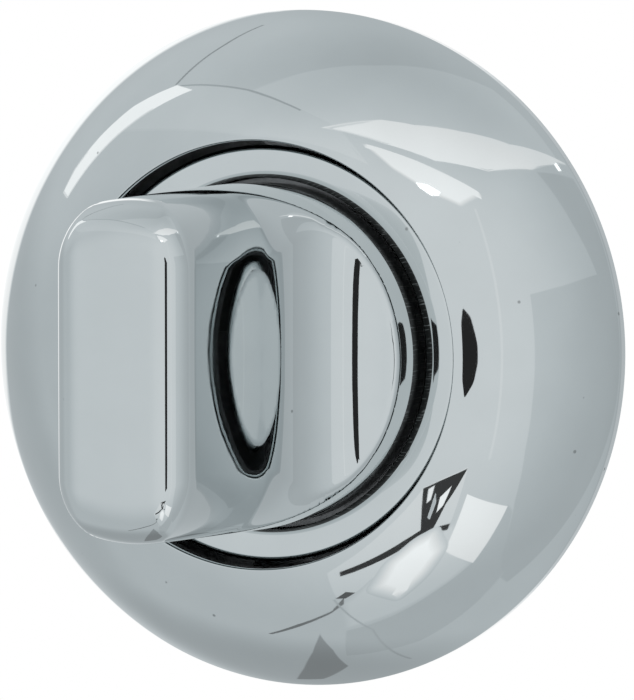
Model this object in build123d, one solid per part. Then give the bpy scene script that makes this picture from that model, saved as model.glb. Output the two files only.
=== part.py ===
from build123d import *
import math
import os

# Privacy thumb turn on a domed round rose, to be fixed on a door.
# Frame: the door face is the plane Y = 0 and the room is on the -Y side. The axis of the turn is
# the Y axis, X is to the right for someone who faces the door, and Z is up.
# A height is a distance from the door face into the room. All lengths are in millimetres.

# Cover rose
ROSE_DIAMETER = 52.0
ROSE_HEIGHT = 9.9
RIM_BAND = 1.0
DOME_BULGE = 1.45
COVER_WALL = 1.3
LIP_ROUND = 0.35
RIM_ROUND = 0.4

# Base plate under the cover
PLATE_THICKNESS = 3.0
BASE_CLEARANCE = 0.3
COVER_SKIRT_WALL = 2.3
EDGE_CHAMFER = 1.0
HUB_HEIGHT = 6.2
POCKET_DEPTH = 1.6
POCKET_RIB = 2.4
POCKET_MARGIN = 1.6

# Snap ring that holds the cover
SNAP_WIRE = 1.0
SNAP_HEIGHT = 1.15
SNAP_CLEARANCE = 0.1
SNAP_GAP_ANGLE = 40.0

# Collar ring in the opening
RING_WIDTH = 2.0
RING_GROOVE = 0.75
RING_HEIGHT = 8.05
RING_INNER_ROUND = 0.65
RING_OUTER_ROUND = 0.2

# Knob: disc, grip and neck
KNOB_RADIUS = 12.85
KNOB_CLEARANCE = 0.4
KNOB_HEIGHT = 32.9
DISC_HEIGHT = 12.5
DISC_LAND = 1.0
DISC_EDGE_ROUND = 0.45
GRIP_THICKNESS = 10.3
GRIP_END_STEP = 0.1
GRIP_END_TAPER = 0.85
GRIP_EDGE_ROUND = 2.2
GRIP_END_ROUND = 2.0
GRIP_FOOT_DEPTH = 2.0
GRIP_FOOT_MARGIN = 0.9
FLANK_DRAFT = 2.4
COVE_UPPER_RADIUS = 12.2
COVE_UPPER_ANGLE = 21.0
COVE_END_SLOPE = 1.5
COVE_SINK = 0.09
NECK_RADIUS = 6.5
NECK_END_HEIGHT = 0.3
NECK_FLAT = 5.5

# Bush between neck and base
BUSH_WALL = 1.0
BUSH_FLANGE_RADIUS = 10.5
BUSH_FLANGE = 0.7
RUNNING_CLEARANCE = 0.05
PRESS_CLEARANCE = 0.02
END_PLAY = 0.1

# Stop washer, disc spring and circlip in the recess at the back
RECESS_DEPTH = 2.7
WASHER_THICKNESS = 0.8
WASHER_MARGIN = 0.3
WASHER_CLEARANCE = 0.35
EAR_LENGTH = 1.8
EAR_WIDTH = 3.0
TURN_ANGLE = 90.0
STOP_MARGIN_ANGLE = 2.0
SPRING_THICKNESS = 0.3
SPRING_DISH = 0.25
SPRING_WIDTH = 2.05
CLIP_THICKNESS = 0.7
CLIP_GROOVE_DEPTH = 0.5
CLIP_BAND = 1.9
CLIP_MOUTH = 5.0
CLIP_EYE = 0.6
CLIP_PLAY = 0.05

# Spindle and its pin
SPINDLE_WIDTH = 6.0
SPINDLE_REACH = 44.0
SPINDLE_CLEARANCE = 0.05
SPINDLE_CHAMFER = 0.8
SOCKET_HEIGHT = 12.0
SOCKET_FLOOR_GAP = 0.5
PIN_DIAMETER = 2.0
PIN_SHORT = 0.3
PIN_HEIGHT = 4.6
PIN_BORE = 1.1
PIN_SLOT = 0.5
PIN_CLEARANCE = 0.02

# Fixing screws and the spigots that they run through
SCREW_SPACING = 38.0
SCREW_DIAMETER = 4.0
SCREW_NECK_DIAMETER = 3.5
THREAD_START_GAP = 0.4
SCREW_REACH = 22.0
SCREW_HEAD_DIAMETER = 7.5
SCREW_CLEARANCE = 0.15
HEAD_CLEARANCE = 0.05
SCREW_TIP_CHAMFER = 0.5
RECESS_WIDTH = 1.0
RECESS_SPAN = 4.0
RECESS_CUT = 1.3
SPIGOT_DIAMETER = 7.8
SPIGOT_LENGTH = 6.0
SPIGOT_CHAMFER = 0.5

# Sizes that several pieces share
ROSE_RADIUS = ROSE_DIAMETER / 2
RING_BORE_RADIUS = KNOB_RADIUS + KNOB_CLEARANCE
RING_RADIUS = RING_BORE_RADIUS + RING_WIDTH
MOUTH_RADIUS = RING_RADIUS + RING_GROOVE
SKIRT_RADIUS = ROSE_RADIUS - COVER_SKIRT_WALL
BASE_RADIUS = SKIRT_RADIUS - BASE_CLEARANCE
SNAP_RADIUS = SKIRT_RADIUS - BASE_CLEARANCE / 2
KNOB_UNDERSIDE = HUB_HEIGHT + BUSH_FLANGE + END_PLAY
BUSH_RADIUS = NECK_RADIUS + RUNNING_CLEARANCE + BUSH_WALL
WASHER_BACK = RECESS_DEPTH - WASHER_THICKNESS
SPRING_BACK = WASHER_BACK - SPRING_THICKNESS - SPRING_DISH
CLIP_BACK = SPRING_BACK - CLIP_THICKNESS
CLIP_RADIUS = NECK_RADIUS - CLIP_GROOVE_DEPTH
SPRING_RADIUS = NECK_RADIUS + RUNNING_CLEARANCE + SPRING_WIDTH
WASHER_RADIUS = SPRING_RADIUS + WASHER_MARGIN
EAR_RADIUS = WASHER_RADIUS + EAR_LENGTH

# How near to a surface an edge counts as lying on it
ON_SURFACE = 0.01


def at(radius, height):
    """A point of a turned outline, by its radius and its height from the door."""
    return (radius, -height)


def turned(*corners):
    """A ring or disc with straight edges, turned about the axis."""
    return revolve(make_face(Polyline(*corners, close=True)), Axis.Y)


def block(radius_from, radius_to, height_from, height_to):
    """A plain turned ring between two radii and two heights."""
    return turned(at(radius_from, height_from), at(radius_to, height_from),
                  at(radius_to, height_to), at(radius_from, height_to))


def prism(outline, height_from, height_to):
    """An outline drawn in X and Z, raised from one height to another."""
    return extrude(Plane((0, -height_from, 0), x_dir=(1, 0, 0), z_dir=(0, -1, 0)) * outline,
                   height_to - height_from)


def edges_near(solid, height, radius, reach=0.05):
    """The circles of a turned solid at one height and radius."""
    found = solid.edges().filter_by(GeomType.CIRCLE)
    return [edge for edge in found
            if abs(-edge.center().Y - height) < reach and abs(edge.radius - radius) < reach]


def cover_rose():
    """The pressed dome, open in the middle and hollow behind, with a groove for the snap ring."""
    shoulder = at(ROSE_RADIUS, RIM_BAND)
    brow = at(MOUTH_RADIUS, ROSE_HEIGHT)
    dome = SagittaArc(shoulder, brow, DOME_BULGE)
    outline = [Line(at(MOUTH_RADIUS, 0), at(ROSE_RADIUS, 0)), Line(at(ROSE_RADIUS, 0), shoulder),
               dome, Line(brow, at(MOUTH_RADIUS, 0))]
    solid = revolve(make_face(outline), Axis.Y)
    inner = Pos(dome.arc_center) * Circle(dome.radius - COVER_WALL)
    window = Pos(SKIRT_RADIUS / 2, -ROSE_HEIGHT / 2) * Rectangle(SKIRT_RADIUS, ROSE_HEIGHT)
    solid -= revolve(inner & window, Axis.Y)
    groove = SNAP_WIRE / 2 + SNAP_CLEARANCE
    solid -= block(MOUTH_RADIUS, SNAP_RADIUS + groove, SNAP_HEIGHT - groove, SNAP_HEIGHT + groove)
    solid = fillet(edges_near(solid, ROSE_HEIGHT, MOUTH_RADIUS), LIP_ROUND)
    return fillet(edges_near(solid, RIM_BAND, ROSE_RADIUS), RIM_ROUND)


def cover_snap_ring():
    """An open ring of round spring wire, half in the base and half in the cover."""
    section = Pos(SNAP_RADIUS, -SNAP_HEIGHT) * Circle(SNAP_WIRE / 2)
    ring = revolve(section, Axis.Y, 360 - SNAP_GAP_ANGLE)
    return Rot(0, SNAP_GAP_ANGLE / 2, 0) * ring


def screw_places():
    """The two fixing points, one above and one below the axis."""
    return [Pos(0, 0, side * SCREW_SPACING / 2) for side in (1, -1)]


def pocket_outline():
    """Kidney-shaped pockets between hub and edge, parted by ribs that leave the screws room."""
    inner = RING_RADIUS + POCKET_MARGIN / 2
    outer = BASE_RADIUS - EDGE_CHAMFER - POCKET_MARGIN
    outline = Circle(outer) - Circle(inner)
    outline -= Rectangle(SPIGOT_DIAMETER + POCKET_RIB, 2 * ROSE_RADIUS)
    outline -= Rectangle(2 * ROSE_RADIUS, POCKET_RIB)
    return outline


def rose_base():
    """The cast base: plate, hub and spigots, with its bearing bore, recess and stop pocket."""
    solid = block(0, BASE_RADIUS, 0, PLATE_THICKNESS)
    solid = chamfer(edges_near(solid, PLATE_THICKNESS, BASE_RADIUS), EDGE_CHAMFER)
    solid += block(0, RING_BORE_RADIUS - PRESS_CLEARANCE, 0, HUB_HEIGHT)
    for place in screw_places():
        spigot = block(0, SPIGOT_DIAMETER / 2, -SPIGOT_LENGTH, 0)
        solid += place * chamfer(edges_near(spigot, -SPIGOT_LENGTH, SPIGOT_DIAMETER / 2),
                                 SPIGOT_CHAMFER)
    for place in screw_places():
        hole = SCREW_DIAMETER / 2 + SCREW_CLEARANCE
        head = SCREW_HEAD_DIAMETER / 2 + HEAD_CLEARANCE
        solid -= place * block(0, hole, -SPIGOT_LENGTH, PLATE_THICKNESS)
        solid -= place * turned(at(0, PLATE_THICKNESS), at(head, PLATE_THICKNESS),
                                at(0, PLATE_THICKNESS - head))
    solid -= block(0, BUSH_RADIUS + PRESS_CLEARANCE, 0, HUB_HEIGHT)
    solid -= block(0, WASHER_RADIUS + WASHER_CLEARANCE, 0, RECESS_DEPTH)
    solid -= stop_pocket()
    solid -= prism(pocket_outline(), PLATE_THICKNESS - POCKET_DEPTH, PLATE_THICKNESS)
    groove = SNAP_WIRE / 2 + SNAP_CLEARANCE
    solid -= block(SNAP_RADIUS - groove, ROSE_RADIUS, SNAP_HEIGHT - groove, SNAP_HEIGHT + groove)
    return solid


def stop_pocket():
    """The arc in which the ear of the stop washer runs, with a wall at each end of the turn."""
    radius = EAR_RADIUS + WASHER_CLEARANCE
    half_ear = math.degrees(math.atan(EAR_WIDTH / 2 / WASHER_RADIUS))
    swing = TURN_ANGLE + 2 * (half_ear + STOP_MARGIN_ANGLE)
    arc = CenterArc((0, 0), radius, -half_ear - STOP_MARGIN_ANGLE, swing)
    sector = make_face([arc, Line((0, 0), arc @ 0), Line(arc @ 1, (0, 0))])
    return prism(sector, 0, RECESS_DEPTH)


def collar_ring():
    """The turned ring round the knob, pressed over the hub and seated on the plate."""
    ring = block(RING_BORE_RADIUS, RING_RADIUS, PLATE_THICKNESS, RING_HEIGHT)
    ring = fillet(edges_near(ring, RING_HEIGHT, RING_BORE_RADIUS), RING_INNER_ROUND)
    return fillet(edges_near(ring, RING_HEIGHT, RING_RADIUS), RING_OUTER_ROUND)


def neck_bush():
    """The flanged bush: its tube lines the bore and its flange carries the knob."""
    bore = NECK_RADIUS + RUNNING_CLEARANCE
    tube = block(bore, BUSH_RADIUS, RECESS_DEPTH, HUB_HEIGHT)
    return tube + block(bore, BUSH_FLANGE_RADIUS, HUB_HEIGHT, HUB_HEIGHT + BUSH_FLANGE)


def knob_outline():
    """Half of the grip's outline: brow, drafted flank, and a cove in two arcs down to the disc."""
    centre = at(GRIP_THICKNESS / 2 - GRIP_EDGE_ROUND, KNOB_HEIGHT - GRIP_EDGE_ROUND)
    brow = CenterArc(centre, GRIP_EDGE_ROUND, -90, 90 - FLANK_DRAFT)
    length, lower_radius = flank_and_cove(brow @ 1)
    flank = PolarLine(brow @ 1, length, 90 - FLANK_DRAFT)
    upper = JernArc(flank @ 1, flank % 1, COVE_UPPER_RADIUS, -COVE_UPPER_ANGLE)
    turn_left = 90 - FLANK_DRAFT - COVE_UPPER_ANGLE - COVE_END_SLOPE
    lower = JernArc(upper @ 1, upper % 1, lower_radius, -turn_left)
    return [Line(at(0, KNOB_HEIGHT), brow @ 0), brow, flank, upper, lower]


def flank_and_cove(start):
    """The flank's length and the lower arc's radius that bring the cove to its end on the disc."""
    draft = math.radians(FLANK_DRAFT)
    middle = math.radians(FLANK_DRAFT + COVE_UPPER_ANGLE)
    end = math.radians(90 - COVE_END_SLOPE)
    upper_across = COVE_UPPER_RADIUS * (math.cos(draft) - math.cos(middle))
    upper_down = COVE_UPPER_RADIUS * (math.sin(middle) - math.sin(draft))
    across = KNOB_RADIUS - DISC_LAND - start.X - upper_across
    down = -start.Y - (DISC_HEIGHT - COVE_SINK) - upper_down
    lower_across = math.cos(middle) - math.cos(end)
    lower_down = math.sin(end) - math.sin(middle)
    radius = (across * math.cos(draft) - down * math.sin(draft)) / (
        lower_across * math.cos(draft) - lower_down * math.sin(draft))
    return (down - radius * lower_down) / math.cos(draft), radius


def bar_of(outline):
    """A bar along Z whose section is the outline, its mirror image and all that lies behind them."""
    start, end = outline[0] @ 0, outline[-1] @ 1
    foot = at(end.X, 0)
    half = make_face(outline + [Line(end, foot), Line(foot, at(0, 0)), Line(at(0, 0), start)])
    return extrude(half + mirror(half, Plane.YZ), 2 * KNOB_RADIUS, both=True)


def end_radius(height):
    """The radius of the grip's ends, which draw in a little towards the front."""
    share = (height - DISC_HEIGHT) / (KNOB_HEIGHT - DISC_HEIGHT)
    return KNOB_RADIUS - GRIP_END_STEP - GRIP_END_TAPER * share


def grip():
    """The upright grip: flanks from the outline, ends turned and drafted, and every edge softened."""
    foot = DISC_HEIGHT - GRIP_FOOT_DEPTH
    outline = knob_outline()
    solid = turned(at(0, foot), at(end_radius(foot), foot),
                   at(end_radius(KNOB_HEIGHT), KNOB_HEIGHT), at(0, KNOB_HEIGHT))
    solid &= bar_of(outline)
    half_width = (outline[-1] @ 1).X - GRIP_FOOT_MARGIN
    solid &= prism(Rectangle(2 * half_width, 4 * KNOB_RADIUS), foot, KNOB_HEIGHT)
    rim = []
    for edge in solid.edges():
        middle = edge @ 0.5
        off_wall = abs(math.hypot(middle.X, middle.Z) - end_radius(-middle.Y))
        if off_wall < ON_SURFACE and -middle.Y > DISC_HEIGHT:
            rim.append(edge)
    return fillet(rim, GRIP_END_ROUND)


def disc():
    """The disc that the grip stands on, with a plain side wall and a small rounded edge."""
    solid = block(0, KNOB_RADIUS, KNOB_UNDERSIDE, DISC_HEIGHT)
    return fillet(edges_near(solid, DISC_HEIGHT, KNOB_RADIUS), DISC_EDGE_ROUND)


def neck():
    """The neck behind the disc, with its flats and the groove for the circlip."""
    solid = block(0, NECK_RADIUS, NECK_END_HEIGHT, KNOB_UNDERSIDE)
    width = NECK_RADIUS - NECK_FLAT
    for side in (1, -1):
        slab = Pos(side * (NECK_FLAT + width / 2), 0) * Rectangle(width, 2 * NECK_RADIUS)
        solid -= prism(slab, NECK_END_HEIGHT, RECESS_DEPTH)
    return solid - block(CLIP_RADIUS, NECK_RADIUS, CLIP_BACK - CLIP_PLAY, SPRING_BACK)


def knob():
    """One casting: disc, grip and neck, with the square socket and the pin hole."""
    solid = disc() + grip() + neck()
    socket = SPINDLE_WIDTH + 2 * SPINDLE_CLEARANCE
    solid -= prism(Rectangle(socket, socket), NECK_END_HEIGHT, SOCKET_HEIGHT)
    return solid - cross_hole(2 * NECK_RADIUS)


def cross_hole(length):
    """The hole for the spring pin, along X through neck and spindle."""
    hole = Cylinder(PIN_DIAMETER / 2 + PIN_CLEARANCE, length)
    return Pos(0, -PIN_HEIGHT, 0) * Rot(0, 90, 0) * hole


def stop_washer():
    """The keyed washer, whose ear meets the ends of the stop pocket."""
    outline = Circle(WASHER_RADIUS)
    outline += Pos((EAR_RADIUS + NECK_RADIUS) / 2, 0) * Rectangle(EAR_RADIUS - NECK_RADIUS, EAR_WIDTH)
    bore = Circle(NECK_RADIUS + RUNNING_CLEARANCE)
    bore &= Rectangle(2 * (NECK_FLAT + RUNNING_CLEARANCE), 4 * NECK_RADIUS)
    return prism(outline - bore, WASHER_BACK, RECESS_DEPTH)


def disc_spring():
    """The dished washer between circlip and stop washer."""
    inner = NECK_RADIUS + RUNNING_CLEARANCE
    return turned(at(inner, SPRING_BACK), at(inner, SPRING_BACK + SPRING_THICKNESS),
                  at(SPRING_RADIUS, WASHER_BACK), at(SPRING_RADIUS, WASHER_BACK - SPRING_THICKNESS))


def circlip():
    """The external retaining ring, open at one side, with an eye at each end."""
    outline = Circle(CLIP_RADIUS + CLIP_BAND) - Circle(CLIP_RADIUS + PRESS_CLEARANCE)
    outline -= Pos(0, -CLIP_RADIUS) * Rectangle(CLIP_MOUTH, 2 * CLIP_RADIUS)
    for side in (1, -1):
        eye = Pos(side * (CLIP_MOUTH / 2 + CLIP_BAND / 2), -CLIP_RADIUS - CLIP_BAND / 2)
        outline -= eye * Circle(CLIP_EYE / 2)
    return prism(outline, CLIP_BACK, SPRING_BACK)


def spindle():
    """The square bar, chamfered at both ends and drilled for its pin."""
    front = SOCKET_HEIGHT - SOCKET_FLOOR_GAP
    bar = prism(Rectangle(SPINDLE_WIDTH, SPINDLE_WIDTH), -SPINDLE_REACH, front)
    ends = bar.faces().sort_by(Axis.Y)
    bar = chamfer(ends[0].edges() + ends[-1].edges(), SPINDLE_CHAMFER)
    return bar - cross_hole(2 * SPINDLE_WIDTH)


def spindle_pin():
    """The slotted spring pin, a little shorter than the neck is wide."""
    length = 2 * (NECK_RADIUS - PIN_SHORT)
    pin = Cylinder(PIN_DIAMETER / 2, length) - Cylinder(PIN_BORE / 2, length)
    pin -= Pos(PIN_DIAMETER / 2, 0, 0) * Box(PIN_DIAMETER, PIN_SLOT, length)
    return Pos(0, -PIN_HEIGHT, 0) * Rot(0, 90, 0) * pin


def fixing_screw():
    """A countersunk machine screw on the axis: plain neck in the spigot, thread behind it."""
    head = SCREW_HEAD_DIAMETER / 2
    neck_radius = SCREW_NECK_DIAMETER / 2
    thread = SCREW_DIAMETER / 2
    start = -SPIGOT_LENGTH - THREAD_START_GAP
    solid = turned(at(0, PLATE_THICKNESS), at(head, PLATE_THICKNESS),
                   at(neck_radius, PLATE_THICKNESS - head + neck_radius), at(neck_radius, start),
                   at(thread, start), at(thread, SCREW_TIP_CHAMFER - SCREW_REACH),
                   at(thread - SCREW_TIP_CHAMFER, -SCREW_REACH), at(0, -SCREW_REACH))
    slots = Rectangle(RECESS_WIDTH, RECESS_SPAN) + Rectangle(RECESS_SPAN, RECESS_WIDTH)
    return solid - prism(slots, PLATE_THICKNESS - RECESS_CUT, PLATE_THICKNESS)


os.makedirs("parts", exist_ok=True)
upper, lower = screw_places()
PIECES = {
    "cover_rose": cover_rose(),
    "cover_snap_ring": cover_snap_ring(),
    "rose_base": rose_base(),
    "collar_ring": collar_ring(),
    "neck_bush": neck_bush(),
    "knob": knob(),
    "stop_washer": stop_washer(),
    "disc_spring": disc_spring(),
    "circlip": circlip(),
    "spindle": spindle(),
    "spindle_pin": spindle_pin(),
    "fixing_screw_upper": upper * fixing_screw(),
    "fixing_screw_lower": lower * fixing_screw(),
}
for name, piece in PIECES.items():
    export_step(piece, f"parts/{name}.step")
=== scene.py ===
import math

import bmesh
import bpy
import numpy as np
from mathutils import Matrix, Vector


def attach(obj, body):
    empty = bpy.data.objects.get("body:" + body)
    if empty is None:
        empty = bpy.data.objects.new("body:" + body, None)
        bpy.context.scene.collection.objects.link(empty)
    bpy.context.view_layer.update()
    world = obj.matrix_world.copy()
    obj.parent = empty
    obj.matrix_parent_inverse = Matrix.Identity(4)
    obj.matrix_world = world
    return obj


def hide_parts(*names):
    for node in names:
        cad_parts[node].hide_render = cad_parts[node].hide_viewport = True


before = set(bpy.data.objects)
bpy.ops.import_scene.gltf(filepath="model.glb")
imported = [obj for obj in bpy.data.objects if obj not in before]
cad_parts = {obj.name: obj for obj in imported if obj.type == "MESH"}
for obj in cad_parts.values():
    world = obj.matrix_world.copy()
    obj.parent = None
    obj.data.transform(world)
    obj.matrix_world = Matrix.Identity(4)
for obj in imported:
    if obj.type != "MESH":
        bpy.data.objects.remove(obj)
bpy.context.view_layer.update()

# Rose base
# The base plate is one zinc die casting with hub, pockets and spigots, left as cast with a thin grey
# skin. It is the carried-over solid, and only its surface is made here.
MM = 0.001


def node(tree, kind, values=None, **settings):
    """A shader node with its settings, and with a value or a link for some of its inputs."""
    made = tree.nodes.new(kind)
    for key, value in settings.items():
        setattr(made, key, value)
    for key, value in (values or {}).items():
        if isinstance(value, bpy.types.NodeSocket):
            tree.links.new(value, made.inputs[key])
        else:
            made.inputs[key].default_value = value
    return made


def new_group(name, inputs, outputs):
    """An empty shader group, with the outputs of its input node and with its output node."""
    tree = bpy.data.node_groups.new(name, "ShaderNodeTree")
    for label, kind, value in inputs:
        socket = tree.interface.new_socket(label, in_out="INPUT", socket_type=kind)
        if value is not None:
            socket.default_value = value
    for label, kind in outputs:
        tree.interface.new_socket(label, in_out="OUTPUT", socket_type=kind)
    return tree, tree.nodes.new("NodeGroupInput").outputs, tree.nodes.new("NodeGroupOutput")


SURFACE = [("Color", "NodeSocketColor"), ("Roughness", "NodeSocketFloat"), ("Normal", "NodeSocketVector")]
TARGETS = {"Color": "Base Color", "Roughness": "Roughness", "Normal": "Normal"}


def grain_group():
    """Mottled colour, uneven gloss and a fine relief, which may be stretched into drawn lines."""
    tree, given, out = new_group("grain", [
        ("Light", "NodeSocketColor", (0.5, 0.5, 0.5, 1)), ("Dark", "NodeSocketColor", (0.3, 0.3, 0.3, 1)),
        ("Gloss", "NodeSocketFloat", 0.3), ("Matt", "NodeSocketFloat", 0.5),
        ("Scale", "NodeSocketFloat", 900.0), ("Depth", "NodeSocketFloat", 0.00001),
        ("Stretch", "NodeSocketVector", (1, 1, 1))], SURFACE)
    place = node(tree, "ShaderNodeTexCoord").outputs["Object"]
    drawn = node(tree, "ShaderNodeVectorMath", {0: place, 1: given["Stretch"]}, operation="MULTIPLY")
    fine = node(tree, "ShaderNodeTexNoise", {"Vector": drawn.outputs[0], "Scale": given["Scale"],
                                             "Detail": 4.0, "Roughness": 0.6}).outputs[0]
    broad = node(tree, "ShaderNodeTexNoise", {"Vector": place, "Scale": 140.0, "Detail": 3.0}).outputs[0]
    both = node(tree, "ShaderNodeMath", {0: fine, 1: broad}, operation="MULTIPLY").outputs[0]
    share = node(tree, "ShaderNodeMapRange", {0: both, 1: 0.1, 2: 0.42}).outputs[0]
    tree.links.new(node(tree, "ShaderNodeMix", {0: share, 6: given["Dark"], 7: given["Light"]},
                        data_type="RGBA").outputs[2], out.inputs["Color"])
    tree.links.new(node(tree, "ShaderNodeMapRange", {0: broad, 1: 0.35, 2: 0.65, 3: given["Gloss"],
                                                     4: given["Matt"]}).outputs[0],
                   out.inputs["Roughness"])
    tree.links.new(node(tree, "ShaderNodeBump", {"Strength": 1.0, "Distance": given["Depth"],
                                                 "Height": fine}).outputs[0], out.inputs["Normal"])
    return tree


def surface(name, group, values, metallic):
    """A material whose colour, gloss and relief come from a shared group."""
    material = bpy.data.materials.new(name)
    material.use_nodes = True
    tree = material.node_tree
    shader = tree.nodes["Principled BSDF"]
    shader.inputs["Metallic"].default_value = metallic
    made = node(tree, "ShaderNodeGroup", node_tree=group)
    for key, value in values.items():
        made.inputs[key].default_value = value
    for label, target in TARGETS.items():
        tree.links.new(made.outputs[label], shader.inputs[target])
    return material


def dress(name, material):
    """Gives a carried-over solid its surface."""
    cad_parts[name].data.materials.clear()
    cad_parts[name].data.materials.append(material)


grain = grain_group()
dress("rose_base", surface("zinc_casting", grain, {
    "Light": (0.50, 0.51, 0.52, 1), "Dark": (0.30, 0.31, 0.32, 1), "Gloss": 0.36, "Matt": 0.55,
    "Scale": 1400.0, "Depth": 0.00002}, 1.0))

# Neck bush
# A flanged bush, turned from white acetal and pressed into the hub, in which the neck of the knob turns
# without grease.
dress("neck_bush", surface("acetal", grain, {
    "Light": (0.80, 0.79, 0.74, 1), "Dark": (0.70, 0.69, 0.64, 1), "Gloss": 0.35, "Matt": 0.5,
    "Scale": 700.0, "Depth": 0.000004}, 0.0))

# Collar ring
# A ring turned from brass bar and chrome plated, pressed over the hub. Its flat face and soft inner edge
# are polished.
TURN_STEPS = 256


def mesh_object(name, bm):
    """A finished bmesh as a smooth object at the origin, with its faces turned outwards."""
    bmesh.ops.remove_doubles(bm, verts=bm.verts, dist=1e-7)
    bmesh.ops.recalc_face_normals(bm, faces=bm.faces)
    mesh = bpy.data.meshes.new(name)
    bm.to_mesh(mesh)
    bm.free()
    mesh.polygons.foreach_set("use_smooth", [True] * len(mesh.polygons))
    obj = bpy.data.objects.new(name, mesh)
    bpy.context.scene.collection.objects.link(obj)
    return obj


def arc_circle(start, end, bulge):
    """Centre and radius of the arc from start to end that stands out to the left by bulge."""
    start, end = Vector(start), Vector(end)
    chord = end - start
    radius = (chord.length_squared / 4 + bulge * bulge) / (2 * bulge)
    side = Vector((chord.y, -chord.x)).normalized()
    return (start + end) / 2 - side * (radius - bulge), radius


def turned_object(name, corners, rounds=(), arcs=()):
    """A ring turned from an outline of (radius, height) corners in mm. rounds gives corners a radius,
    and arcs bend an edge that starts at a corner onto a circle."""
    bm = bmesh.new()
    bm.faces.new([bm.verts.new((r * MM, -h * MM, 0)) for r, h in corners])

    def corner(index):
        r, h = corners[index % len(corners)]
        return min(bm.verts, key=lambda vert: (vert.co - Vector((r * MM, -h * MM, 0))).length)

    for index, centre, radius, cuts in arcs:
        edge = bm.edges.get((corner(index), corner(index + 1)))
        made = bmesh.ops.subdivide_edges(bm, edges=[edge], cuts=cuts)
        middle = Vector((centre[0] * MM, -centre[1] * MM, 0))
        for vert in made["geom_inner"]:
            if isinstance(vert, bmesh.types.BMVert):
                vert.co = middle + (vert.co - middle).normalized() * radius * MM
    for index, radius, segments in rounds:
        vert = corner(index)
        ends = [edge.other_vert(vert).co - vert.co for edge in vert.link_edges]
        half = ends[0].angle(ends[1]) / 2
        bmesh.ops.bevel(bm, geom=[vert], offset=radius * MM / math.tan(half), offset_type="OFFSET",
                        segments=segments, profile=0.5, affect="VERTICES", material=-1)
    bmesh.ops.delete(bm, geom=bm.faces[:], context="FACES_ONLY")
    bmesh.ops.spin(bm, geom=bm.verts[:] + bm.edges[:], cent=(0, 0, 0), axis=(0, 1, 0),
                   angle=2 * math.pi, steps=TURN_STEPS, use_merge=True)
    obj = mesh_object(name, bm)
    weights = obj.modifiers.new("even", "WEIGHTED_NORMAL")
    weights.mode = "FACE_AREA"
    weights.keep_sharp = True
    return obj


def polish_group():
    """Plated and buffed metal: nearly a mirror, with a slow waviness, light haze and a few specks."""
    tree, given, out = new_group("polish", [("Tint", "NodeSocketColor", (0.5, 0.5, 0.5, 1)),
                                            ("Wave", "NodeSocketFloat", 0.00001)], SURFACE)
    place = node(tree, "ShaderNodeTexCoord").outputs["Object"]
    slow = node(tree, "ShaderNodeTexNoise", {"Vector": place, "Scale": 110.0, "Detail": 1.0}).outputs[0]
    ripple = node(tree, "ShaderNodeTexNoise", {"Vector": place, "Scale": 620.0, "Detail": 1.0}).outputs[0]
    wave = node(tree, "ShaderNodeMath", {0: ripple, 1: 0.1, 2: slow}, operation="MULTIPLY_ADD").outputs[0]
    haze = node(tree, "ShaderNodeTexNoise", {"Vector": place, "Scale": 260.0, "Detail": 5.0}).outputs[0]
    pore = node(tree, "ShaderNodeTexVoronoi", {"Vector": place, "Scale": 520.0}).outputs["Distance"]
    few = node(tree, "ShaderNodeTexNoise", {"Vector": place, "Scale": 330.0, "Detail": 0.0}).outputs[0]
    near = node(tree, "ShaderNodeMapRange", {0: pore, 1: 0.05, 2: 0.09, 3: 1.0, 4: 0.0}).outputs[0]
    rare = node(tree, "ShaderNodeMapRange", {0: few, 1: 0.66, 2: 0.7}).outputs[0]
    speck = node(tree, "ShaderNodeMath", {0: near, 1: rare}, operation="MULTIPLY").outputs[0]
    shade = node(tree, "ShaderNodeMapRange", {0: haze, 1: 0.3, 2: 0.7, 3: 0.97, 4: 1.0}).outputs[0]
    dim = node(tree, "ShaderNodeMath", {0: speck, 1: -0.45, 2: shade},
               operation="MULTIPLY_ADD").outputs[0]
    tree.links.new(node(tree, "ShaderNodeVectorMath", {0: given["Tint"], "Scale": dim},
                        operation="SCALE").outputs[0], out.inputs["Color"])
    gloss = node(tree, "ShaderNodeMapRange", {0: haze, 1: 0.35, 2: 0.75, 3: 0.015, 4: 0.05}).outputs[0]
    tree.links.new(node(tree, "ShaderNodeMath", {0: speck, 1: 0.3, 2: gloss},
                        operation="MULTIPLY_ADD").outputs[0], out.inputs["Roughness"])
    tree.links.new(node(tree, "ShaderNodeBump", {"Strength": 1.0, "Distance": given["Wave"],
                                                 "Height": wave}).outputs[0], out.inputs["Normal"])
    return tree


polish = polish_group()
CHROME_TINT = (0.665, 0.70, 0.707, 1)
chrome = surface("chrome", polish, {"Tint": CHROME_TINT, "Wave": 0.00001}, 1.0)
RING_RADIUS = 15.7
RING_BORE = 13.25
RING_HEIGHT = 8.05
RING_SEAT = 3.0
RING_ROUND = 0.5
CROWN_WIDTH = 0.75
CROWN_DROP = 0.12
crown_radius = (CROWN_WIDTH ** 2 + CROWN_DROP ** 2) / (2 * CROWN_DROP)
crown_end = RING_BORE + CROWN_WIDTH
ring = turned_object("collar_ring_visual",
                     [(RING_BORE, RING_SEAT), (RING_BORE, RING_HEIGHT - CROWN_DROP),
                      (crown_end, RING_HEIGHT), (RING_RADIUS, RING_HEIGHT), (RING_RADIUS, RING_SEAT)],
                     rounds=[(3, RING_ROUND, 10)],
                     arcs=[(1, (crown_end, RING_HEIGHT - crown_radius), crown_radius, 16)])
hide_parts("collar_ring")
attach(ring, "rose")
ring.data.materials.append(chrome)

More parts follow.
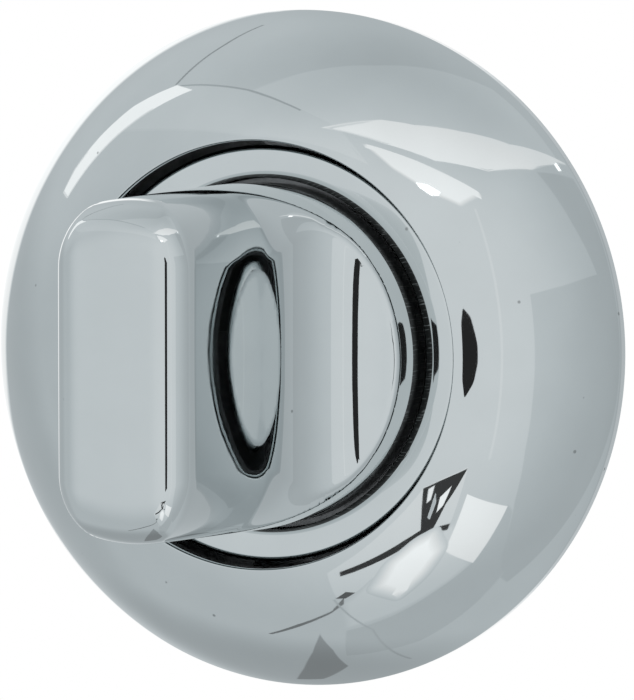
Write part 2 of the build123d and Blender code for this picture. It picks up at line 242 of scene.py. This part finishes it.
# Knob
# One zinc die casting, disc, grip and neck together, buffed and chrome plated. The lower side wall of the
# disc is painted nearly black as painted shade and dark reflection of the gap under it, and the square
# socket is broached.
KNOB_RADIUS = 12.85
KNOB_HEIGHT = 32.9
DISC_HEIGHT = 12.4
FACE_HALF = 2.95
FACE_BEND = 0.004
BROW_RADIUS = 2.2
BROW_EASE = 0.5
FLANK_DRAFT = 2.4
FLANK_LENGTH = 6.9
COVE_BEND = 0.1813
COVE_EASE = 12.16
COVE_LANDING = 1.5
END_TAPER = 0.95
EDGE_ROUND = 0.45
END_ROUND = 3.2
ROUND_START = 13.0
ROUND_FULL = 20.0
ROLL_DEPTH = 0.12
ROLL_REACH = 1.6
HEAD_FLOOR = 6.0
WALL_TOP = 11.0
WALL_JOIN = 10.6
WALL_SHADE_TOP = 9.6
WALL_EDGE = 0.04
WALL_INSIDE = 12.6
KNOB_UNDERSIDE = 7.0
NECK_RADIUS = 6.5
NECK_END = 0.3
NECK_FLAT = 5.5
FLAT_TOP = 2.7
GROOVE_RADIUS = 6.0
GROOVE_TOP = 1.35
GROOVE_END = 0.6
SOCKET = 6.1
SOCKET_TOP = 12.0
PIN_HEIGHT = 4.6
PIN_RADIUS = 1.02
CURVE_STEP = 0.01
CURVE_LENGTH = 50
COARSE = slice(None, None, 25)
BATCH = 20000
DISC_BLANK = (4.6, 12.6)
GRIP_BLANK = (10.6, 24, 24.5)
GRIP_MIDDLE = 20.9
ROUGH_VOXEL = 0.6
FINE_VOXEL = 0.28


def smooth_step(value, low, high):
    """Rises softly from 0 at low to 1 at high."""
    share = np.clip((value - low) / (high - low), 0, 1)
    return share * share * (3 - 2 * share)


def section_curve():
    """The knob's half section from the middle of its front, over brow, flank and cove, to the rim: length
    along it, place and heading, in mm and radians. Its bend at each length gives the rest."""
    s = np.arange(0, CURVE_LENGTH, CURVE_STEP)
    brow_end = FACE_HALF + (math.radians(90 - FLANK_DRAFT) - FACE_BEND * FACE_HALF) * BROW_RADIUS
    brow = (smooth_step(s, FACE_HALF - BROW_EASE, FACE_HALF + BROW_EASE)
            - smooth_step(s, brow_end - BROW_EASE, brow_end + BROW_EASE))
    cove_start = brow_end + FLANK_LENGTH
    cove = smooth_step(s, cove_start, cove_start + COVE_EASE)
    bend = FACE_BEND * (s < FACE_HALF) + brow / BROW_RADIUS - COVE_BEND * cove
    heading = np.concatenate([[0], np.cumsum(bend[:-1] * CURVE_STEP)])
    stop = np.argmax((s > cove_start) & (heading < math.radians(COVE_LANDING)))
    heading[stop:] = heading[stop]
    x = np.concatenate([[0], np.cumsum(np.cos(heading[:-1]) * CURVE_STEP)])
    h = KNOB_HEIGHT - np.concatenate([[0], np.cumsum(np.sin(heading[:-1]) * CURVE_STEP)])
    return s, x, h, heading


CURVE_S, CURVE_X, CURVE_H, CURVE_A = section_curve()


def section(x, h):
    """Distance from the section's outline, below nought inside it. The nearest coarse point is refined."""
    s = np.empty(len(x))
    for start in range(0, len(x), BATCH):
        some = slice(start, start + BATCH)
        gap = (x[some, None] - CURVE_X[None, COARSE]) ** 2 + (h[some, None] - CURVE_H[None, COARSE]) ** 2
        s[some] = CURVE_S[COARSE][gap.argmin(1)]
    for _ in range(6):
        heading = np.interp(s, CURVE_S, CURVE_A)
        along = ((x - np.interp(s, CURVE_S, CURVE_X)) * np.cos(heading)
                 - (h - np.interp(s, CURVE_S, CURVE_H)) * np.sin(heading))
        s = np.clip(s + along * 0.8, 0, CURVE_S[-1])
    heading = np.interp(s, CURVE_S, CURVE_A)
    return ((x - np.interp(s, CURVE_S, CURVE_X)) * np.sin(heading)
            + (h - np.interp(s, CURVE_S, CURVE_H)) * np.cos(heading))


def cut_round(a, b, r):
    """Where two surfaces cut, rounded by r."""
    return np.minimum(-r, np.maximum(a, b)) + np.hypot(np.maximum(a + r, 0), np.maximum(b + r, 0))


def head(p):
    """Distance from the surface of the knob's head, below nought inside it."""
    x, h, z = np.abs(p[:, 0]), -p[:, 1], np.abs(p[:, 2])
    radius = KNOB_RADIUS - END_TAPER * np.clip((h - DISC_HEIGHT) / (KNOB_HEIGHT - DISC_HEIGHT), 0, 1)
    wall = np.hypot(x, z) - radius
    sec = section(x, h) + ROLL_DEPTH * np.exp(np.minimum(wall, 0) / ROLL_REACH)
    r = EDGE_ROUND + (END_ROUND - EDGE_ROUND) * smooth_step(h, ROUND_START, ROUND_FULL)
    return np.maximum(cut_round(sec, wall, r), HEAD_FLOOR - h)


def settle(points, shape, rounds, step=1e-4):
    """Points moved onto the surface where shape is nought, in a few rounds, with the surface's normals."""
    points = points.copy()
    for turn in range(rounds + 1):
        slope = np.stack([(shape(points + step * d) - shape(points - step * d)) / (2 * step)
                          for d in np.eye(3)], axis=1)
        if turn < rounds:
            points -= (shape(points) / np.maximum((slope ** 2).sum(1), 1e-9))[:, None] * slope
    return points, slope / np.linalg.norm(slope, axis=1, keepdims=True)


def remeshed(obj, size):
    """Gives the object an even mesh of squares of about this size."""
    remesh = obj.modifiers.new("grid", "REMESH")
    remesh.mode = "VOXEL"
    remesh.voxel_size = size
    mesh = bpy.data.meshes.new_from_object(obj.evaluated_get(bpy.context.evaluated_depsgraph_get()))
    obj.modifiers.clear()
    obj.data = mesh
    return mesh


def points_of(mesh):
    """The mesh's points as rows of an array."""
    points = np.zeros(len(mesh.vertices) * 3)
    mesh.vertices.foreach_get("co", points)
    return points.reshape(-1, 3)


def move_points(mesh, points):
    """Puts the mesh's points where the rows of the array say."""
    mesh.vertices.foreach_set("co", points.ravel())
    mesh.update()


def cut(obj, cutter):
    """Takes the cutter's shape out of a closed object."""
    boolean = obj.modifiers.new("cut", "BOOLEAN")
    boolean.operation = "DIFFERENCE"
    boolean.solver = "MANIFOLD"
    boolean.object = cutter
    obj.data = bpy.data.meshes.new_from_object(obj.evaluated_get(bpy.context.evaluated_depsgraph_get()))
    obj.modifiers.clear()
    bpy.data.objects.remove(cutter)


def lathe(bm, corners):
    """Adds the surface that an outline of (radius, height) corners sweeps, closed at the axis."""
    verts = [bm.verts.new((r, -h, 0)) for r, h in corners]
    edges = [bm.edges.new(pair) for pair in zip(verts, verts[1:])]
    bmesh.ops.spin(bm, geom=verts + edges, cent=(0, 0, 0), axis=(0, 1, 0), angle=2 * math.pi,
                   steps=TURN_STEPS, use_merge=True)
    bmesh.ops.remove_doubles(bm, verts=bm.verts, dist=1e-5)


def block(bm, middle, size):
    """Adds a box."""
    bmesh.ops.create_cube(bm, size=1, matrix=Matrix.Translation(middle) @ Matrix.Diagonal((*size, 1)))


def bar(bm, middle, radius, length, axis, segments):
    """Adds a round bar that stood on the Z axis and is laid down by a quarter turn about axis."""
    bmesh.ops.create_cone(bm, cap_ends=True, segments=segments, radius1=radius, radius2=radius,
                          depth=length,
                          matrix=Matrix.Translation(middle) @ Matrix.Rotation(math.pi / 2, 4, axis))


# the head: a rough blank of disc and grip, meshed evenly and settled on its true surface
bm = bmesh.new()
bar(bm, (0, -sum(DISC_BLANK) / 2, 0), KNOB_RADIUS, DISC_BLANK[1] - DISC_BLANK[0], "X", 96)
block(bm, (0, -GRIP_MIDDLE, 0), GRIP_BLANK)
knob = mesh_object("knob_visual", bm)
for size in (ROUGH_VOXEL, FINE_VOXEL):
    mesh = remeshed(knob, size)
    move_points(mesh, settle(points_of(mesh), head, 4)[0])

# the head is cut level in its wall and joined there to the turned underside and neck
bm = bmesh.new()
bm.from_mesh(knob.data)
bmesh.ops.bisect_plane(bm, geom=bm.verts[:] + bm.edges[:] + bm.faces[:], plane_co=(0, -WALL_TOP, 0),
                       plane_no=(0, 1, 0), clear_outer=True)
for vert in bm.verts:
    if vert.is_boundary:
        vert.co = Vector((vert.co.x, 0, vert.co.z)).normalized() * KNOB_RADIUS + Vector((0, -WALL_TOP, 0))
base = bmesh.new()
lathe(base, [(KNOB_RADIUS, WALL_JOIN), (KNOB_RADIUS, KNOB_UNDERSIDE), (NECK_RADIUS, KNOB_UNDERSIDE),
             (NECK_RADIUS, GROOVE_TOP), (GROOVE_RADIUS, GROOVE_TOP), (GROOVE_RADIUS, GROOVE_END),
             (NECK_RADIUS, GROOVE_END), (NECK_RADIUS, NECK_END), (0, NECK_END)])
base_mesh = bpy.data.meshes.new("knob_base")
base.to_mesh(base_mesh)
base.free()
bm.from_mesh(base_mesh)
bpy.data.meshes.remove(base_mesh)
bmesh.ops.bridge_loops(bm, edges=[edge for edge in bm.edges if edge.is_boundary])
bmesh.ops.triangulate(bm, faces=[face for face in bm.faces if len(face.verts) > 4])
bmesh.ops.recalc_face_normals(bm, faces=bm.faces)
bm.to_mesh(knob.data)
bm.free()

# the socket for the spindle, the two flats for the stop washer and the hole for the pin
bm = bmesh.new()
block(bm, (0, 1 - (SOCKET_TOP + 1) / 2, 0), (SOCKET, SOCKET_TOP + 1, SOCKET))
for side in (1, -1):
    block(bm, (side * (NECK_FLAT + 1), 1 - (FLAT_TOP + 1) / 2, 0), (2, FLAT_TOP + 1, 2 * NECK_RADIUS))
cut(knob, mesh_object("socket_and_flats", bm))
bm = bmesh.new()
bar(bm, (0, -PIN_HEIGHT, 0), PIN_RADIUS, 3 * NECK_RADIUS, "Y", 48)
cut(knob, mesh_object("pin_hole", bm))

# the head takes its normals from its true surface, so that its reflections run smoothly
mesh = knob.data
points = points_of(mesh)
normals = settle(points, head, 0)[1]
on_head = (np.abs(head(points)) < 0.01) & (-points[:, 1] > WALL_JOIN)
normals[~on_head] = 0
mesh.polygons.foreach_set("use_smooth", [True] * len(mesh.polygons))
mesh.set_sharp_from_angle(angle=math.radians(35))
corners = np.zeros(len(mesh.loops), dtype=int)
mesh.loops.foreach_get("vertex_index", corners)
move_points(mesh, points * MM)
mesh.normals_split_custom_set(normals[corners].tolist())
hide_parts("knob")
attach(knob, "turn")


def wall_shade_group():
    """Swaps the polish for painted shade, nearly black with lighter axial scratch streaks, low on the side
    wall of the disc.
    """
    tree, given, out = new_group("painted_wall_shade", [(*socket, None) for socket in SURFACE], SURFACE)
    place = node(tree, "ShaderNodeTexCoord").outputs["Object"]
    part = node(tree, "ShaderNodeSeparateXYZ", {0: place}).outputs
    low = node(tree, "ShaderNodeMapRange", {0: part["Y"], 1: -WALL_SHADE_TOP * MM,
                                            2: -(WALL_SHADE_TOP - WALL_EDGE) * MM}).outputs[0]
    flat = node(tree, "ShaderNodeVectorMath", {0: place, 1: (1, 0, 1)}, operation="MULTIPLY").outputs[0]
    reach = node(tree, "ShaderNodeVectorMath", {0: flat}, operation="LENGTH").outputs["Value"]
    outer = node(tree, "ShaderNodeMath", {0: reach, 1: WALL_INSIDE * MM},
                 operation="GREATER_THAN").outputs[0]
    shade_mask = node(tree, "ShaderNodeMath", {0: low, 1: outer}, operation="MULTIPLY").outputs[0]
    turn = node(tree, "ShaderNodeMath", {0: part["X"], 1: part["Z"]}, operation="ARCTAN2").outputs[0]
    across = node(tree, "ShaderNodeMath", {0: turn, 1: KNOB_RADIUS * MM}, operation="MULTIPLY").outputs[0]
    along = node(tree, "ShaderNodeMath", {0: part["Y"], 1: 0.04}, operation="MULTIPLY").outputs[0]
    sheet = node(tree, "ShaderNodeCombineXYZ", {0: across, 1: along}).outputs[0]
    lines = node(tree, "ShaderNodeTexNoise", {"Vector": sheet, "Scale": 9000.0, "Detail": 2.0}).outputs[0]
    scratch_sheen = node(tree, "ShaderNodeMapRange", {0: lines, 1: 0.56, 2: 0.72}).outputs[0]
    # painted shade and dark reflection: the lower side wall in the gap between disc and collar ring is
    # coloured nearly black, and its scratch streaks carry a painted sheen
    dark = node(tree, "ShaderNodeMix", {0: scratch_sheen, 6: (0.012, 0.013, 0.013, 1), 7: (0.2, 0.21, 0.21, 1)},
                data_type="RGBA").outputs[2]
    tree.links.new(node(tree, "ShaderNodeMix", {0: shade_mask, 6: given["Color"], 7: dark},
                        data_type="RGBA").outputs[2], out.inputs["Color"])
    tree.links.new(node(tree, "ShaderNodeMix", {0: shade_mask, 2: given["Roughness"], 3: 0.3}).outputs[0],
                   out.inputs["Roughness"])
    depth = node(tree, "ShaderNodeMath", {0: lines, 1: shade_mask}, operation="MULTIPLY").outputs[0]
    tree.links.new(node(tree, "ShaderNodeBump", {"Strength": 0.5, "Distance": 0.000004, "Height": depth,
                                                 "Normal": given["Normal"]}).outputs[0],
                   out.inputs["Normal"])
    return tree


def refine(material, group):
    """Puts a further group between a material's own group and its shader."""
    tree = material.node_tree
    shader = tree.nodes["Principled BSDF"]
    made = node(tree, "ShaderNodeGroup", node_tree=group)
    for label, target in TARGETS.items():
        tree.links.new(shader.inputs[target].links[0].from_socket, made.inputs[label])
        tree.links.new(made.outputs[label], shader.inputs[target])


knob_chrome = surface("knob_chrome", polish, {"Tint": CHROME_TINT, "Wave": 0.000016}, 1.0)
refine(knob_chrome, wall_shade_group())
mesh.materials.clear()
mesh.materials.append(knob_chrome)

# Stop washer
# A washer stamped from steel strip and zinc plated. Its two flats sit on the neck, and its ear runs in
# the pocket of the base and stops the turn at both ends.
plated_steel = surface("plated_steel", grain, {
    "Light": (0.62, 0.63, 0.64, 1), "Dark": (0.42, 0.43, 0.45, 1), "Gloss": 0.22, "Matt": 0.38,
    "Scale": 1100.0, "Depth": 0.000005}, 1.0)
dress("stop_washer", plated_steel)

# Disc spring and circlip
# Both are stamped from spring steel and hardened, with a dark oiled skin. The dished spring keeps the
# turn from rattling, and the circlip snaps into the groove of the neck.
spring_steel = surface("spring_steel", grain, {
    "Light": (0.12, 0.12, 0.13, 1), "Dark": (0.05, 0.05, 0.055, 1), "Gloss": 0.25, "Matt": 0.42,
    "Scale": 1600.0, "Depth": 0.000004}, 1.0)
dress("disc_spring", spring_steel)
dress("circlip", spring_steel)

# Spindle and its pin
# The spindle is cold-drawn square steel bar, cut, chamfered and zinc plated, with fine lines along it.
# The pin is rolled from spring steel and driven through the neck.
dress("spindle", surface("drawn_steel", grain, {
    "Light": (0.60, 0.61, 0.62, 1), "Dark": (0.40, 0.41, 0.43, 1), "Gloss": 0.2, "Matt": 0.36,
    "Scale": 2600.0, "Depth": 0.000005, "Stretch": (1, 0.03, 1)}, 1.0))
dress("spindle_pin", spring_steel)

# Fixing screws
# Two M4 countersunk machine screws of steel, cold headed, rolled and zinc plated bright. They pass
# through the door on both sides of the knob, under the cover.
SCREW_PLACE = 19.0
PITCH = 0.7
THREAD_DEPTH = 0.4
THREAD_START = 0.5
THREAD_FULL = 1.5


def thread_group():
    """Cuts a right-handed thread into the shanks as a relief, with painted shade in its roots."""
    tree, given, out = new_group("thread", [(*socket, None) for socket in SURFACE], SURFACE)
    place = node(tree, "ShaderNodeTexCoord").outputs["Object"]
    part = node(tree, "ShaderNodeSeparateXYZ", {0: place}).outputs
    side = node(tree, "ShaderNodeMath", {0: part["Z"]}, operation="SIGN").outputs[0]
    up = node(tree, "ShaderNodeMath", {0: side, 1: -SCREW_PLACE * MM, 2: part["Z"]},
              operation="MULTIPLY_ADD").outputs[0]
    turn = node(tree, "ShaderNodeMath", {0: part["X"], 1: up}, operation="ARCTAN2").outputs[0]
    share = node(tree, "ShaderNodeMath", {0: turn, 1: 0.5 / math.pi}, operation="MULTIPLY").outputs[0]
    climb = node(tree, "ShaderNodeMath", {0: part["Y"], 1: 1 / (PITCH * MM), 2: share},
                 operation="MULTIPLY_ADD").outputs[0]
    crest = node(tree, "ShaderNodeMath", {0: climb, 1: 0.5}, operation="PINGPONG").outputs[0]
    shank = node(tree, "ShaderNodeMapRange", {0: part["Y"], 1: THREAD_START * MM,
                                              2: THREAD_FULL * MM}).outputs[0]
    height = node(tree, "ShaderNodeMath", {0: crest, 1: shank}, operation="MULTIPLY").outputs[0]
    # painted shade: the roots of the thread are coloured towards near black
    root_shade = node(tree, "ShaderNodeMapRange", {0: crest, 1: 0.0, 2: 0.2, 3: 0.7, 4: 0.0}).outputs[0]
    root_shade = node(tree, "ShaderNodeMath", {0: root_shade, 1: shank}, operation="MULTIPLY").outputs[0]
    tree.links.new(node(tree, "ShaderNodeMix", {0: root_shade, 6: given["Color"], 7: (0.05, 0.05, 0.055, 1)},
                        data_type="RGBA").outputs[2], out.inputs["Color"])
    tree.links.new(given["Roughness"], out.inputs["Roughness"])
    tree.links.new(node(tree, "ShaderNodeBump", {"Strength": 1.0, "Distance": 2 * THREAD_DEPTH * MM,
                                                 "Height": height, "Normal": given["Normal"]}).outputs[0],
                   out.inputs["Normal"])
    return tree


screw_steel = surface("screw_steel", grain, {
    "Light": (0.66, 0.67, 0.68, 1), "Dark": (0.46, 0.47, 0.49, 1), "Gloss": 0.16, "Matt": 0.3,
    "Scale": 1900.0, "Depth": 0.000004}, 1.0)
refine(screw_steel, thread_group())
dress("fixing_screw_upper", screw_steel)
dress("fixing_screw_lower", screw_steel)

# Cover snap ring
# An open ring bent from round spring wire, bare and bright. It sits half in the base and half in the
# cover, which snaps over it.
dress("cover_snap_ring", surface("spring_wire", grain, {
    "Light": (0.50, 0.50, 0.50, 1), "Dark": (0.32, 0.32, 0.33, 1), "Gloss": 0.2, "Matt": 0.34,
    "Scale": 2200.0, "Depth": 0.000003}, 1.0))

# Cover rose
# The domed cover is one pressing in brass sheet, trimmed to a narrow upright rim and a round opening,
# polished and chrome plated. It snaps over the base and hides its screws.
ROSE_RADIUS = 26.0
MOUTH_RADIUS = 16.0
RIM_BAND = 1.0
ROSE_HEIGHT = 9.9
DOME_BULGE = 1.45
COVER_WALL = 1.3
SKIRT_RADIUS = 23.7
LIP_ROUND = 0.35
RIM_ROUND = 0.4

dome_centre, dome_radius = arc_circle((ROSE_RADIUS, RIM_BAND), (MOUTH_RADIUS, ROSE_HEIGHT), DOME_BULGE)
inner_radius = dome_radius - COVER_WALL
skirt_top = dome_centre.y + math.sqrt(inner_radius ** 2 - (SKIRT_RADIUS - dome_centre.x) ** 2)
mouth_top = dome_centre.y + math.sqrt(inner_radius ** 2 - (MOUTH_RADIUS - dome_centre.x) ** 2)
cover = turned_object("cover_rose_visual",
                      [(ROSE_RADIUS, 0), (ROSE_RADIUS, RIM_BAND), (MOUTH_RADIUS, ROSE_HEIGHT),
                       (MOUTH_RADIUS, mouth_top), (SKIRT_RADIUS, skirt_top), (SKIRT_RADIUS, 0)],
                      rounds=[(1, RIM_ROUND, 8), (2, LIP_ROUND, 8)],
                      arcs=[(1, dome_centre, dome_radius, 60), (3, dome_centre, inner_radius, 30)])
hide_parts("cover_rose")
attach(cover, "rose")
cover.data.materials.append(chrome)

# Studio
# A white tent round the part, as plates of light that only mirrors see, a pale floor, and the camera at
# the photograph's angle.
CAMERA_AZIMUTH = 23.4
CAMERA_ELEVATION = 3.4
CAMERA_DISTANCE = 0.2702
PICTURE_HEIGHT = 700
SHIFT_RIGHT = 13
SHIFT_UP = -1.7
# each zone: azimuth and elevation of its middle, its inner and outer angle, its light inside and outside
TENT_ZONES = [(22, 5, 15, 85, 0.845, 0.632), (-140, -55, 4, 34, 0.74, 1.0), (150, -5, 8, 50, 0.84, 1.0),
              (10, 75, 10, 45, 0.9, 1.0), (-90, 45, 20, 45, 1.12, 1.0), (-110, -15, 10, 35, 0.88, 1.0)]
WHITE_ZONE = (-156, -2, 12, 24, 1.0, 0.0)
FLOOR_SIZE = 3.0
FLOOR_DEPTH = 0.65


def direction(azimuth, elevation):
    """The way from the part out to a place in the tent."""
    a, e = math.radians(azimuth), math.radians(elevation)
    return Vector((math.sin(a) * math.cos(e), -math.cos(a) * math.cos(e), math.sin(e)))


camera_data = bpy.data.cameras.new("camera")
camera_data.sensor_width = 36
camera_data.lens = 180
camera_data.shift_x = SHIFT_RIGHT / PICTURE_HEIGHT
camera_data.shift_y = SHIFT_UP / PICTURE_HEIGHT
camera_data.clip_start = 0.01
camera = bpy.data.objects.new("camera", camera_data)
bpy.context.scene.collection.objects.link(camera)
back = direction(CAMERA_AZIMUTH, CAMERA_ELEVATION)
camera.location = back * CAMERA_DISTANCE
camera.rotation_mode = "QUATERNION"
camera.rotation_quaternion = (-back).to_track_quat("-Z", "Y")
bpy.context.scene.camera = camera


def tent_group():
    """The light of the tent by direction: full in front, less at the sides, white behind the part."""
    tree, given, out = new_group("tent_light", [("Way", "NodeSocketVector", None),
                                                ("Factor", "NodeSocketFloat", 1.0)],
                                 [("Color", "NodeSocketColor")])
    way = node(tree, "ShaderNodeVectorMath", {0: given["Way"]}, operation="NORMALIZE").outputs[0]

    def zone(azimuth, elevation, near, far, light, rest):
        """A soft round zone, which goes from light to rest between two angles from its middle."""
        share = node(tree, "ShaderNodeVectorMath", {0: way, 1: direction(azimuth, elevation)},
                     operation="DOT_PRODUCT").outputs["Value"]
        return node(tree, "ShaderNodeMapRange", {0: share, 1: math.cos(math.radians(far)),
                                                 2: math.cos(math.radians(near)), 3: rest, 4: light},
                    interpolation_type="SMOOTHSTEP").outputs[0]

    tent = given["Factor"]
    for values in TENT_ZONES:
        tent = node(tree, "ShaderNodeMath", {0: tent, 1: zone(*values)}, operation="MULTIPLY").outputs[0]
    light = node(tree, "ShaderNodeMath", {0: tent, 1: zone(*WHITE_ZONE)}, operation="MAXIMUM").outputs[0]
    below = node(tree, "ShaderNodeMath", {0: 1.0, 1: light}, operation="SUBTRACT",
                 use_clamp=True).outputs[0]
    grey = node(tree, "ShaderNodeMath", {0: below, 1: light}, operation="MULTIPLY").outputs[0]
    red = node(tree, "ShaderNodeMath", {0: grey, 1: -0.25, 2: 1.0}, operation="MULTIPLY_ADD").outputs[0]
    blue = node(tree, "ShaderNodeMath", {0: grey, 1: 0.12, 2: 1.0}, operation="MULTIPLY_ADD").outputs[0]
    shade = node(tree, "ShaderNodeCombineXYZ", {0: red, 1: 1.0, 2: blue}).outputs[0]
    tree.links.new(node(tree, "ShaderNodeVectorMath", {0: shade, "Scale": light},
                        operation="SCALE").outputs[0], out.inputs["Color"])
    return tree


tent = tent_group()
world = bpy.data.worlds.new("tent")
bpy.context.scene.world = world
world.use_nodes = True
tree = world.node_tree
way = node(tree, "ShaderNodeTexCoord").outputs["Generated"]
light = node(tree, "ShaderNodeGroup", {"Way": way}, node_tree=tent)
tree.links.new(light.outputs["Color"], tree.nodes["Background"].inputs["Color"])
bpy.context.scene.view_settings.view_transform = "Standard"


def plate(name, factor, corners, distance=0.6, soft=0.0, curve=0.0):
    """A flat plate of the tent that only mirrors see, through corners given by azimuth and elevation.
    soft is the width of its fading edge and curve the cut of its corners, in degrees."""
    bm = bmesh.new()
    bmesh.ops.create_circle(bm, cap_ends=True, segments=len(corners), radius=1)
    for vert, corner in zip(bm.verts, corners):
        vert.co = direction(*corner) * distance
    degree = math.radians(distance)
    if curve:
        bmesh.ops.bevel(bm, geom=bm.verts[:], offset=curve * degree, offset_type="OFFSET", segments=4,
                        profile=0.5, affect="VERTICES", clamp_overlap=True, material=-1)
    fade = bm.verts.layers.float.new("fade")
    if soft:
        bmesh.ops.inset_region(bm, faces=bm.faces[:], thickness=soft * degree,
                               use_even_offset=True, use_boundary=True)
    for vert in bm.verts:
        vert[fade] = 0 if soft and vert.is_boundary else 1
    obj = mesh_object(name, bm)
    material = bpy.data.materials.new(name)
    material.use_nodes = True
    tree = material.node_tree
    tree.nodes.clear()
    way = node(tree, "ShaderNodeTexCoord").outputs["Object"]
    fade = node(tree, "ShaderNodeAttribute", attribute_name="fade").outputs["Fac"]
    share = node(tree, "ShaderNodeMapRange", {0: fade, 3: 1.0, 4: factor}).outputs[0]
    light = node(tree, "ShaderNodeGroup", {"Way": way, "Factor": share}, node_tree=tent)
    glow = node(tree, "ShaderNodeEmission", {"Color": light.outputs["Color"]})
    node(tree, "ShaderNodeOutputMaterial", {"Surface": glow.outputs[0]})
    obj.data.materials.append(material)
    obj.visible_camera = False
    obj.visible_diffuse = False
    obj.visible_shadow = False


# the opening for the lens, and the white paper behind the part as its left rim mirrors it
plate("lens", 0.03, [(20.6, -7), (20.6, 3.5), (22.5, 7), (26, 5.5), (28.6, 0), (28.6, -4), (26.8, -8),
                     (22.5, -11)], 0.55, curve=0.8)
plate("paper", 1.9, [(-150, 50), (-134, 37), (-118, 20), (-113, 5), (-116, -8), (-132, -14.5),
                     (-150, -16)], 0.15, soft=4, curve=4)
# the roof: a lighter cloth, its seams, a bright strip, and two bright panels with the lamps before them
plate("roof", 1.1, [(-48, 55), (-44, 71), (13, 87), (130, 73), (134, 60), (116, 41), (60, 50),
                    (10, 50), (-9, 46)], 0.8, soft=0.5)
plate("roof_side", 1.06, [(-88, 46.5), (-50, 55), (-22, 50.5), (-8, 45.5), (-2, 35), (-30, 34),
                          (-86, 34)], 0.8, soft=0.8)
plate("seam_left", 0.55, [(-90, 47.2), (-103.4, 50.8), (-115.3, 52.6), (-133.5, 51.4), (-133.5, 50.8),
                          (-115.3, 51.8), (-103.4, 50), (-90, 46.4)])
plate("seam_roof", 0.75, [(-88, 46.6), (-50, 54.8), (-22, 50.4), (-22, 51.2), (-50, 55.6),
                          (-88, 47.3)])
plate("strip", 1.75, [(-94, 20), (-96, 23.3), (-96.2, 29.7), (-95.3, 37.3), (-88.2, 46.5),
                      (-78, 48.5), (-82.2, 40.5), (-85.3, 33.1), (-86.9, 27.1), (-88, 20)], soft=0.8)
plate("panel_far", 1.5, [(-10, 45.3), (10, 56.5), (28, 58.5), (60, 59), (90, 52.5), (116, 41),
                         (92, 45.5), (60, 47), (30, 47), (8, 46.8)], 0.7, soft=0.7)
plate("panel_near", 1.45, [(-1, 42.8), (8, 36.5), (20, 33.6), (34, 33), (49, 38.5), (30, 41),
                           (12, 43.2)], 0.7, soft=1.5, curve=1)
plate("lamp", 4.0, [(17, 34.2), (21, 33.2), (25, 34.2), (27, 35.6), (21, 36.6), (16, 35.6)], soft=0.5)
plate("lamp_right", 3.0, [(111, 40.5), (113.5, 40), (114, 42), (111.5, 42.2)])
# the right side: a seam, a darker cloth and its upper corner
plate("seam_right", 1.07, [(40.7, -27), (40.7, 34), (42, 34), (42, -27)])
plate("side_right", 0.88, [(58.7, 12.8), (80, 15), (102.6, 15.9), (113, 15), (113, -60), (90, -61),
                           (80, -56), (65, -40), (60, -26), (58.6, -13)], 0.75, soft=0.5)
plate("corner_right", 0.88, [(93.7, 44.1), (98, 29), (102.6, 15.9), (113, 15), (118.5, 36.6)],
      0.75, soft=0.5)
# the lower front: a white card, and the opening with its dark and bright things
plate("card_low", 1.5, [(34.9, -35.1), (62.5, -41.4), (63.2, -59), (36, -52.7)], soft=0.3)
plate("glare", 1.65, [(-0.2, -61.1), (6.6, -49.1), (16.2, -43.5), (26.5, -42), (37.8, -50.9),
                      (36, -61.4), (23.2, -71.4)], 0.58, soft=5, curve=2)
plate("floor_near", 1.12, [(-12.6, -64.5), (2.2, -55.6), (16.5, -47.8), (34.2, -43.1), (62.6, -58.4),
                           (51.8, -68.6), (25.7, -77.8), (-34.9, -79)], 0.65, soft=2)
plate("floor_far", 0.9, [(62.4, -41.5), (63.1, -59.1), (52.6, -69.1), (26.9, -79.1), (-38.6, -80.7),
                         (-139.6, -75.7), (160, -76), (109.2, -66.9), (88.6, -47.6)], 0.75, soft=0.5)
plate("seam_low", 0.8, [(-15, -61.1), (-10.6, -85), (-175.7, -64), (-176.9, -64), (-4.9, -85),
                        (-14, -61.1)])
plate("opening", 1.12, [(-13, -60), (-13, -46), (3, -35), (12, -27.5), (31, -27.5), (32, -45),
                        (24, -46), (14, -54), (-2, -60.5)], 0.7)
plate("dark_frame", 0.07, [(12, -27.8), (31, -27.8), (25.5, -36), (24, -42.5), (32, -43), (32, -45),
                           (22, -43.6), (15, -45.6), (-9, -49.6), (-9, -47.2), (12, -43), (18, -41.5),
                           (15.5, -36)])
plate("bright_left", 1.4, [(14.5, -28.8), (17, -28.6), (17.5, -32.5), (16, -33)], 0.55, soft=0.3)
plate("bright_mid", 0.8, [(18.5, -31), (20.5, -34), (20.5, -39), (19, -38)], 0.55, soft=0.4)
plate("bright_right", 1.5, [(21.5, -33), (25.5, -31), (24.5, -36), (22.5, -37.5)], 0.55)
plate("dark_corner", 0.2, [(-13.5, -60.8), (-8, -58.4), (-4, -60.2), (-9, -62)], 0.55)
plate("dark_line", 0.35, [(-77.5, -66.8), (-49, -68.9), (-20, -67), (-9.5, -61), (-11.5, -64.8),
                          (-22, -68.2), (-49, -70.1), (-77.5, -67.5)])
plate("dark_wedge", 0.6, [(-56, -75.9), (-116, -77.9), (-151, -66.4), (-151, -50.5), (-147.4, -45.7),
                          (-138.3, -60.3), (-113.1, -73.3)], 0.55, soft=0.3)

bm = bmesh.new()
bmesh.ops.create_grid(bm, x_segments=1, y_segments=1, size=FLOOR_SIZE,
                      matrix=Matrix.Translation((0, 0, -FLOOR_DEPTH)))
floor = mesh_object("floor", bm)
floor_paint = surface("floor_paint", grain, {
    "Light": (0.97, 0.97, 0.97, 1), "Dark": (0.95, 0.95, 0.95, 1), "Gloss": 0.8, "Matt": 0.95,
    "Scale": 60.0, "Depth": 0.00001}, 0.0)
paint_shader = floor_paint.node_tree.nodes["Principled BSDF"]
paint_shader.inputs["Emission Color"].default_value = (1, 1, 1, 1)
paint_shader.inputs["Emission Strength"].default_value = 0.5
floor.data.materials.append(floor_paint)
floor.visible_glossy = False
